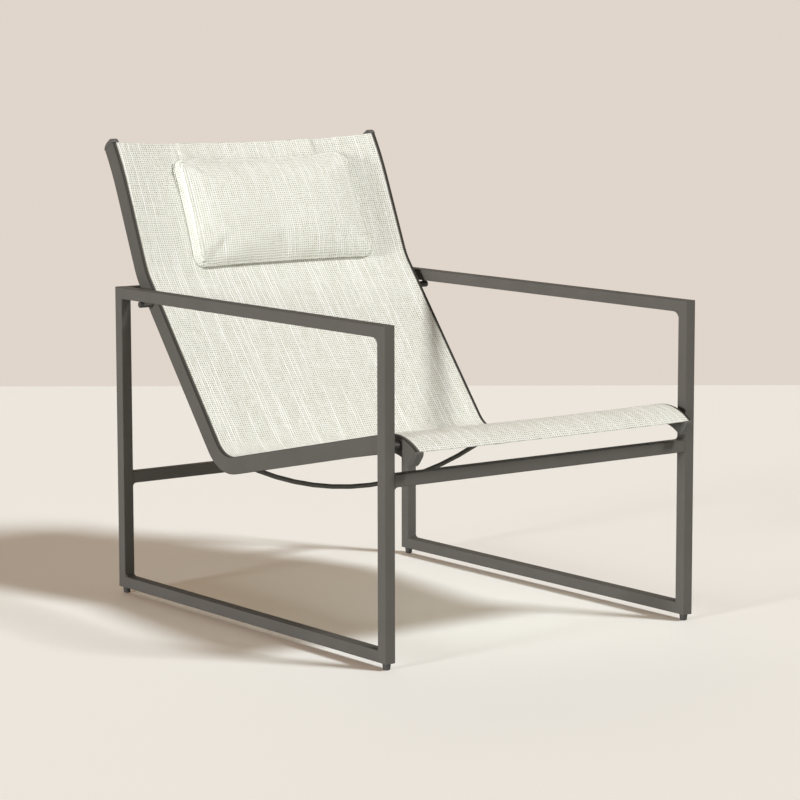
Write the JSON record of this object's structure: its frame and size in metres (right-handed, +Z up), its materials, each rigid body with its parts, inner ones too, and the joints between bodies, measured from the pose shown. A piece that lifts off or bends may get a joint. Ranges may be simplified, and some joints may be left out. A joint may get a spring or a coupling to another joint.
{
  "type": "sling patio chair",
  "caption": "Low outdoor lounge chair: square-tube arm frames, bent side rails that hold a stretched mesh sling, and a headrest pillow hung from a weighted flap.",
  "frame": {"origin": "on the floor, in the middle of the chair's width and of its whole length", "axes": "+Z up, the sitter faces -Y, +X to the right as the picture's camera sees it from the front left; the left side is at -X"},
  "size_m": [0.7, 0.9926, 0.866],
  "materials": {
    "frame_paint": "fine matte powder coat, taupe grey",
    "rail_paint": "fine matte powder coat, taupe grey",
    "foot_nylon": "moulded grey nylon",
    "cap_plastic": "moulded dark grey plastic",
    "black_plastic": "moulded black plastic",
    "zinc": "bright zinc plate",
    "sling_cloth": "coated mesh weave, ivory with fine slubs",
    "pillow_cloth": "the same mesh weave over soft filling",
    "cord": "off-white plastic cord"
  },
  "bodies": {
    "chair_frame": {"left_arm": "frame_paint", "right_arm": "frame_paint", "left_floor_runner": "frame_paint", "right_floor_runner": "frame_paint", "left_front_leg": "frame_paint", "right_front_leg": "frame_paint", "left_rear_leg": "frame_paint", "right_rear_leg": "frame_paint", "front_crossbar": "frame_paint", "rear_crossbar": "frame_paint", "rear_top_crossbar": "frame_paint", "left_front_foot": "foot_nylon", "right_front_foot": "foot_nylon", "left_rear_foot": "foot_nylon", "right_rear_foot": "foot_nylon", "left_sling_rail": "rail_paint", "right_sling_rail": "rail_paint", "left_rail_front_cap": "cap_plastic", "right_rail_front_cap": "cap_plastic", "left_rail_top_cap": "cap_plastic", "right_rail_top_cap": "cap_plastic", "left_front_bolt": "zinc", "right_front_bolt": "zinc", "left_front_spacer": "black_plastic", "right_front_spacer": "black_plastic", "left_front_nut": "zinc", "right_front_nut": "zinc", "back_rod": "rail_paint", "left_rod_plug": "black_plastic", "right_rod_plug": "black_plastic", "seat_bow_bar": "rail_paint", "left_seat_bow_screw_1": "zinc", "right_seat_bow_screw_1": "zinc", "left_seat_bow_screw_2": "zinc", "right_seat_bow_screw_2": "zinc", "back_bow_bar": "rail_paint", "left_back_bow_screw_1": "zinc", "right_back_bow_screw_1": "zinc", "left_back_bow_screw_2": "zinc", "right_back_bow_screw_2": "zinc", "sling": "sling_cloth", "left_sling_cord": "cord", "right_sling_cord": "cord", "headrest_flap": "pillow_cloth"},
    "headrest": {"headrest_pillow": "pillow_cloth"},
    "counterweight": {"weight_pocket": "pillow_cloth", "weight_bar": "zinc"}
  },
  "joints": [
    {"name": "headrest_slide", "type": "slide", "parent": "chair_frame", "child": "headrest", "axis": [0, 0.4272, 0.9042], "range_m": [-0.03, 0.04]},
    {"name": "weight_slide", "type": "slide", "parent": "chair_frame", "child": "counterweight", "axis": [0, 0, 1], "range_m": [-0.04, 0.03]}
  ],
  "couplings": [
    {"joint": "weight_slide", "follows": "headrest_slide", "ratio": -1}
  ]
}
